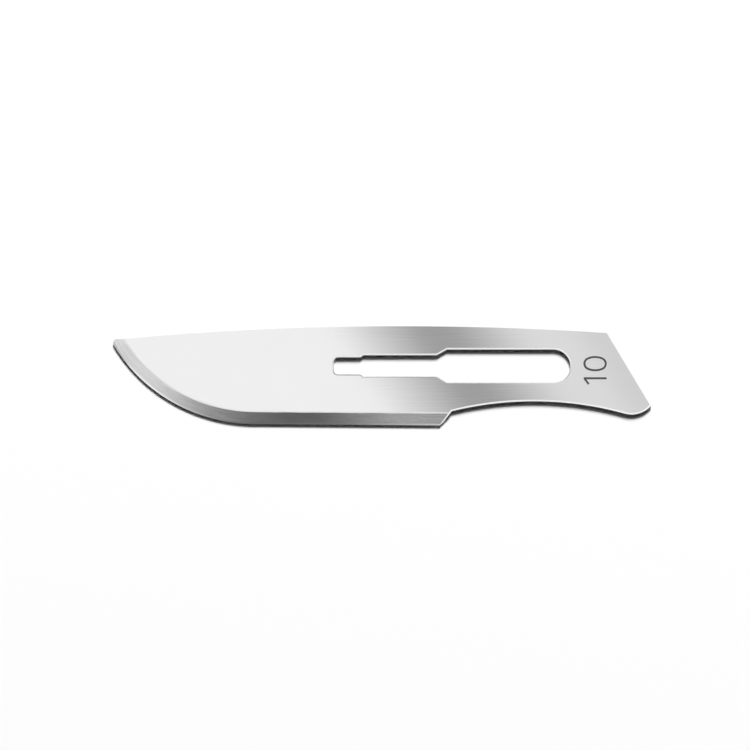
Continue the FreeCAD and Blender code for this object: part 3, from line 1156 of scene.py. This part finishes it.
@dataclass
class Studio:
    """A plain pale floor, two soft lamps and graded soft cards for the steel to reflect.

    Millimetres and degrees. The view slope is how far a mirrored ray goes along Y for each step
    up, and the face lean is how the grading of the face leans against the strip.
    """

    floor_size: float = 3000.0
    floor_gap: float = 0.005
    floor_tint: float = 0.95
    lamps: tuple[Lamp, ...] = (
        Lamp("key", lean=47.5, size=(0.75, 0.75), power=91.5),
        Lamp("top", lean=25.0, size=(1.0, 1.0), power=5.6),
    )
    fill: float = 0.005
    card_height: float = 60.0
    view_slope: float = 0.249
    face_lean: float = 31.0

    def floor(self) -> bpy.types.Object:
        """Lay the floor just under the blade."""
        floor = add_sheet("floor", (self.floor_size,) * 2, UP * -self.floor_gap)
        material, nodes = new_material("Pale Floor")
        shader = nodes.add("ShaderNodeBsdfPrincipled", {
            "Base Color": (self.floor_tint,) * 3 + (1.0,), "Roughness": 1.0,
            "Specular IOR Level": 0.0,
        })
        nodes.add("ShaderNodeOutputMaterial", {"Surface": shader.outputs[0]})
        floor.data.materials.append(material)
        return floor

    def world(self) -> None:
        """Surround the scene with white for the camera and the steel, and with a weak fill."""
        world = bpy.data.worlds.new("Studio")
        bpy.context.scene.world = world
        world.use_nodes = True
        nodes = Nodes(world.node_tree)
        rays = nodes.add("ShaderNodeLightPath").outputs
        seen = nodes.maths("MAXIMUM", rays["Is Camera Ray"], rays["Is Glossy Ray"])
        seen = nodes.maths("MAXIMUM", seen, rays["Is Transmission Ray"])
        seen = nodes.maths("MULTIPLY", seen, first_hand(nodes))
        strength = nodes.maths("MULTIPLY_ADD", seen, 1.0 - self.fill, self.fill)
        back = nodes.add("ShaderNodeBackground", {"Color": (1.0, 1.0, 1.0, 1.0),
                                                  "Strength": strength})
        nodes.add("ShaderNodeOutputWorld", {"Surface": back.outputs[0]})

    def cards(self) -> list[bpy.types.Object]:
        """Hang the soft cards that the faces, the ground edge and the broken edges reflect."""
        height = self.card_height
        spread = 1 + height / Camera.distance
        shift = self.view_slope * height * tan(radians(self.face_lean))
        face = [(-1.6, 1.0), (5.0, 0.37), (7.3, 0.37), (12.7, 0.82), (15.9, 0.82), (17.6, 0.71)]
        face_stops = tuple((place * spread + shift, grey) for place, grey in face)
        bevel_stops = ((-36.0, 0.80), (-22.6, 0.36), (-17.0, 0.27), (-8.0, 0.11), (-5.5, 0.11),
                       (1.6, 0.455), (3.0, 0.455), (5.5, 0.37))
        hone_stops = ((-48.0, 1.0), (-42.0, 0.75), (-36.0, 0.55), (-28.0, 0.32), (-19.0, 0.17),
                      (-12.0, 0.12), (-3.5, 0.13), (1.0, 0.46), (4.0, 0.56))
        top_stops = ((-30.0, 1.0), (6.5, 1.0), (13.0, 0.42), (17.0, 0.42), (25.0, 0.8))
        rim_stops = ((-30.0, 0.8), (-5.0, 0.55), (5.0, 0.36), (10.0, 0.36), (20.0, 0.65))
        cards = (
            SoftCard("face_card", (-60, 7), (120, 45), height, face_stops, self.face_lean),
            SoftCard("bevel_card", (-31, -20), (14, -4), height, bevel_stops),
            SoftCard("belly_card", (-50, -20), (-31, -1), height, bevel_stops),
            SoftCard("tip_card", (-50, -1), (-31, 7), height, plain(0.80)),
            SoftCard("hone_card", (-60, -38), (6.5, -20), height, hone_stops),
            SoftCard("top_card", (-31, -4), (120, 7), height, top_stops),
            SoftCard("heel_card", (14, -38), (120, -4), height, plain(0.60)),
            SoftCard("left_card", (-300, -38), (-60, 45), height, plain(0.50)),
            SoftCard("right_card", (120, -38), (300, 45), height, plain(0.50)),
            SoftCard("far_card", (-300, 45), (300, 400), height, rim_stops),
            SoftCard("near_card", (-300, -150), (300, -38), height, rim_stops),
            SoftCard("strip_card", (-300, -340), (300, -176), height - 1, plain(1.0)),
            SoftCard("heel_strip", (130, -146), (300, -90), height - 1, plain(1.0)),
            SoftCard("low_card", (-300, -420), (300, -150), height, rim_stops),
        )
        return [card.build() for card in cards]


def main() -> None:
    """Build the blade and its studio, and report each piece."""
    logging.basicConfig(level=logging.INFO, format="%(name)s: %(message)s")
    bpy.context.scene.view_settings.view_transform = "Standard"
    view = Camera()
    camera = view.build()
    log.info("camera %.0f mm away", view.distance)

    blade = Blade()
    grain = make_grain_group()
    edge = make_edge_group(blade.outline.belly_centre)
    finishes = {steel.name: steel.material(grain, edge)
                for steel in (STRIP, BEVEL, HONE, TUMBLED_GLINT, WALL_OXIDE_AND_SHADE, ETCHING)}
    piece = blade.build(finishes)
    piece.name = "blade"
    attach(piece, BODY)
    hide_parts(NODE)
    log.info("%s: %d faces, %s", piece.name, len(piece.data.polygons),
             ", ".join(material.name for material in piece.data.materials))

    studio = Studio()
    studio.world()
    lamps = [lamp.build() for lamp in studio.lamps]
    for item in (studio.floor(), *lamps, *studio.cards(), camera):
        log.info("%s at %s", item.name, tuple(round(value, 4) for value in item.location))


if __name__ == "__main__":
    main()
